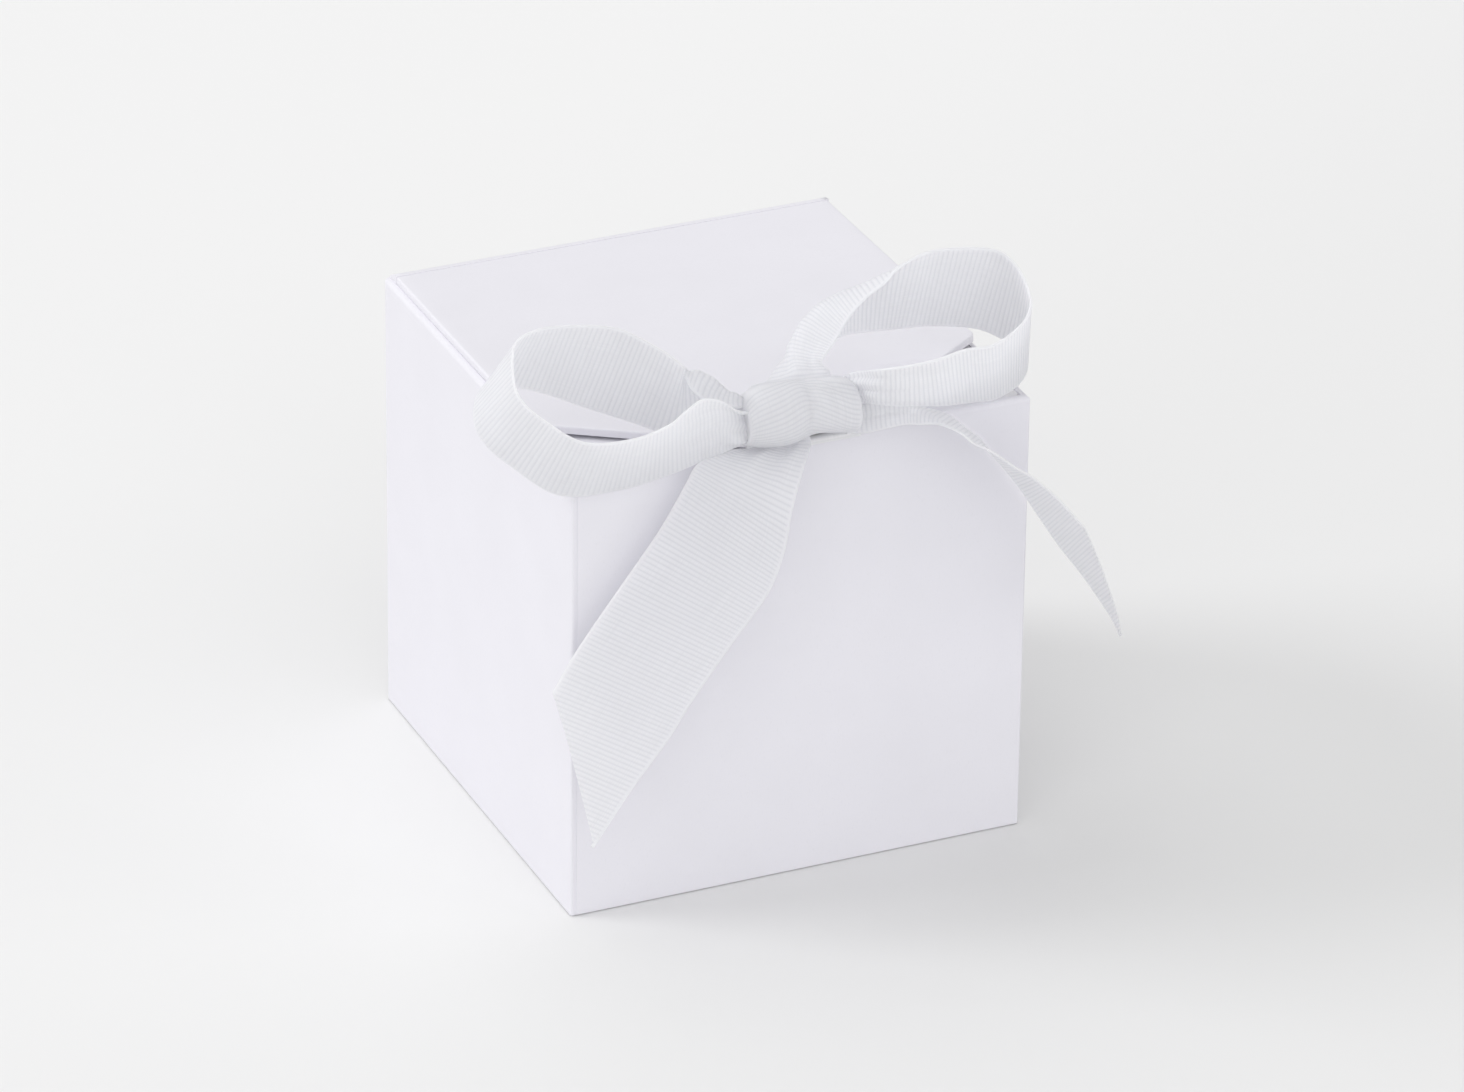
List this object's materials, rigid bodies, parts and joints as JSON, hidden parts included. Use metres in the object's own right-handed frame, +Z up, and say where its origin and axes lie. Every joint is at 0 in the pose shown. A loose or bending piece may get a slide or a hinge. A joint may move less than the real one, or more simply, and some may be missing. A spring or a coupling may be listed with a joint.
{
  "type": "favor box",
  "caption": "Cube favor box of wrapped board with a back-hinged lid, fold-in dust flaps and a ribbon bow over the front edge.",
  "frame": {"origin": "centre of the box's bottom face, on the table", "axes": "+Z up, -Y towards the front wall with the bow, +X to the right seen from the front"},
  "size_m": [0.1356, 0.1225, 0.1319],
  "materials": {
    "covering_paper": "matt, faintly pearly white with a lavender cast",
    "lining_paper": "matt white",
    "grey_board": "raw grey board",
    "white_ribbon": "white grosgrain with fine cross ribs"
  },
  "bodies": {
    "box": {"base_paper": "covering_paper", "base_board": "grey_board", "front_board": "grey_board", "back_board": "grey_board", "left_board": "grey_board", "right_board": "grey_board", "wall_wrap": "covering_paper", "inner_lining": "lining_paper", "left_fold": "covering_paper", "right_fold": "covering_paper", "wall_ribbon": "white_ribbon"},
    "lid": {"lid_board": "grey_board", "lid_wrap": "covering_paper", "lid_lining": "lining_paper", "lid_hinge_strip": "covering_paper", "lid_ribbon": "white_ribbon", "bow_knot": "white_ribbon", "left_loop": "white_ribbon", "right_loop": "white_ribbon", "front_tail": "white_ribbon", "side_tail": "white_ribbon"},
    "left_flap": {"left_flap_board": "grey_board", "left_flap_wrap": "covering_paper", "left_flap_lining": "lining_paper"},
    "right_flap": {"right_flap_board": "grey_board", "right_flap_wrap": "covering_paper", "right_flap_lining": "lining_paper"}
  },
  "joints": [
    {"name": "lid_hinge", "type": "hinge", "parent": "box", "child": "lid", "pos_m": [0, 0.05, 0.0985], "axis": [-1, 0, 0], "range_deg": [0, 225]},
    {"name": "left_flap_fold", "type": "hinge", "parent": "box", "child": "left_flap", "pos_m": [-0.0466, 0, 0.0973], "axis": [0, 1, 0], "range_deg": [0, 85]},
    {"name": "right_flap_fold", "type": "hinge", "parent": "box", "child": "right_flap", "pos_m": [0.0466, 0, 0.0973], "axis": [0, -1, 0], "range_deg": [0, 85]}
  ]
}
